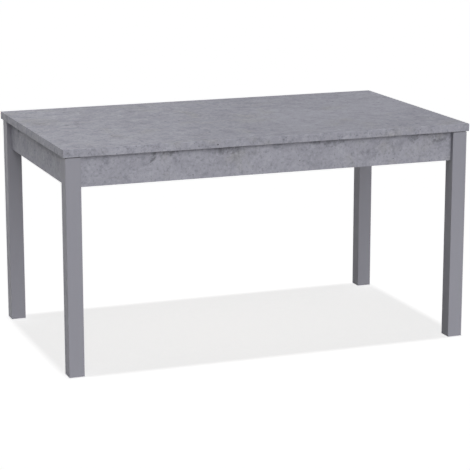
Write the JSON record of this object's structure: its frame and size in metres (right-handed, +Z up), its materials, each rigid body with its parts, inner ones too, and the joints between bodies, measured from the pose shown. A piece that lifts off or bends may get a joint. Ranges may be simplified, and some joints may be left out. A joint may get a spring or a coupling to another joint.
{
  "type": "extendable dining table",
  "caption": "Rectangular dining table on four square legs, with a one-piece top that slides along ball-bearing slides to make room for a loose leaf stored in the frame.",
  "frame": {"origin": "on the floor under the middle of the closed table", "axes": "+X along the table to the right, the way the top slides; +Y across the table to the rear; +Z up"},
  "size_m": [1.4, 0.8, 0.735],
  "materials": {
    "concrete_laminate": "matte grey concrete-pattern laminate on particle board",
    "concrete_edge_band": "matte edge band in the same pattern",
    "grey_painted_wood": "matte grey paint",
    "black_plastic": "moulded",
    "plain_beech": "unfinished",
    "raw_board": "bare particle board",
    "felt": "felt",
    "soft_rubber": "matte",
    "bright_steel": "polished balls",
    "zinc_steel": "bright zinc",
    "galvanised_steel": "galvanised sheet"
  },
  "bodies": {
    "frame": {"apron_dowels": "plain_beech", "apron_front": "concrete_laminate", "apron_left": "concrete_laminate", "apron_rear": "concrete_laminate", "apron_right": "concrete_laminate", "bolt_nuts": "zinc_steel", "bolt_washers": "zinc_steel", "corner_bracket_front_left": "galvanised_steel", "corner_bracket_front_right": "galvanised_steel", "corner_bracket_rear_left": "galvanised_steel", "corner_bracket_rear_right": "galvanised_steel", "corner_bracket_screws": "zinc_steel", "cross_rail_left": "raw_board", "cross_rail_middle": "raw_board", "cross_rail_right": "raw_board", "glide_front_left": "black_plastic", "glide_front_right": "black_plastic", "glide_rear_left": "black_plastic", "glide_rear_right": "black_plastic", "hanger_bolts": "zinc_steel", "leaf_felt_front": "felt", "leaf_felt_rear": "felt", "leaf_guide_front": "plain_beech", "leaf_guide_rear": "plain_beech", "leaf_guide_screws": "zinc_steel", "leaf_rest_pads": "soft_rubber", "leg_front_left": "grey_painted_wood", "leg_front_right": "grey_painted_wood", "leg_rear_left": "grey_painted_wood", "leg_rear_right": "grey_painted_wood", "rail_angle_screws": "zinc_steel", "rail_angles": "galvanised_steel", "slide_bumpers": "soft_rubber", "slide_outer_front": "galvanised_steel", "slide_outer_rear": "galvanised_steel", "slide_outer_screws": "zinc_steel"},
    "sliding_top": {"bearer_front": "plain_beech", "bearer_rear": "plain_beech", "bearer_screws": "zinc_steel", "slide_inner_front": "galvanised_steel", "slide_inner_rear": "galvanised_steel", "slide_inner_screws": "zinc_steel", "top_band_front": "concrete_edge_band", "top_band_left": "concrete_edge_band", "top_band_rear": "concrete_edge_band", "top_band_right": "concrete_edge_band", "top_board": "concrete_laminate"},
    "cage_front": {"ball_cage_front": "galvanised_steel", "balls_front": "bright_steel"},
    "cage_rear": {"ball_cage_rear": "galvanised_steel", "balls_rear": "bright_steel"},
    "leaf": {"leaf_band_front": "concrete_edge_band", "leaf_band_left": "concrete_edge_band", "leaf_band_rear": "concrete_edge_band", "leaf_band_right": "concrete_edge_band", "leaf_board": "concrete_laminate"}
  },
  "joints": [
    {"name": "top_slide", "type": "slide", "parent": "frame", "child": "sliding_top", "axis": [1, 0, 0], "range_m": [0, 0.4]},
    {"name": "cage_front_roll", "type": "slide", "parent": "frame", "child": "cage_front", "axis": [1, 0, 0], "range_m": [0, 0.2]},
    {"name": "cage_rear_roll", "type": "slide", "parent": "frame", "child": "cage_rear", "axis": [1, 0, 0], "range_m": [0, 0.2]},
    {"name": "leaf_shift", "type": "slide", "parent": "frame", "child": "leaf", "axis": [1, 0, 0], "range_m": [-0.2595, 0.2595]}
  ],
  "couplings": [
    {"joint": "cage_front_roll", "follows": "top_slide", "ratio": 0.5},
    {"joint": "cage_rear_roll", "follows": "top_slide", "ratio": 0.5}
  ]
}
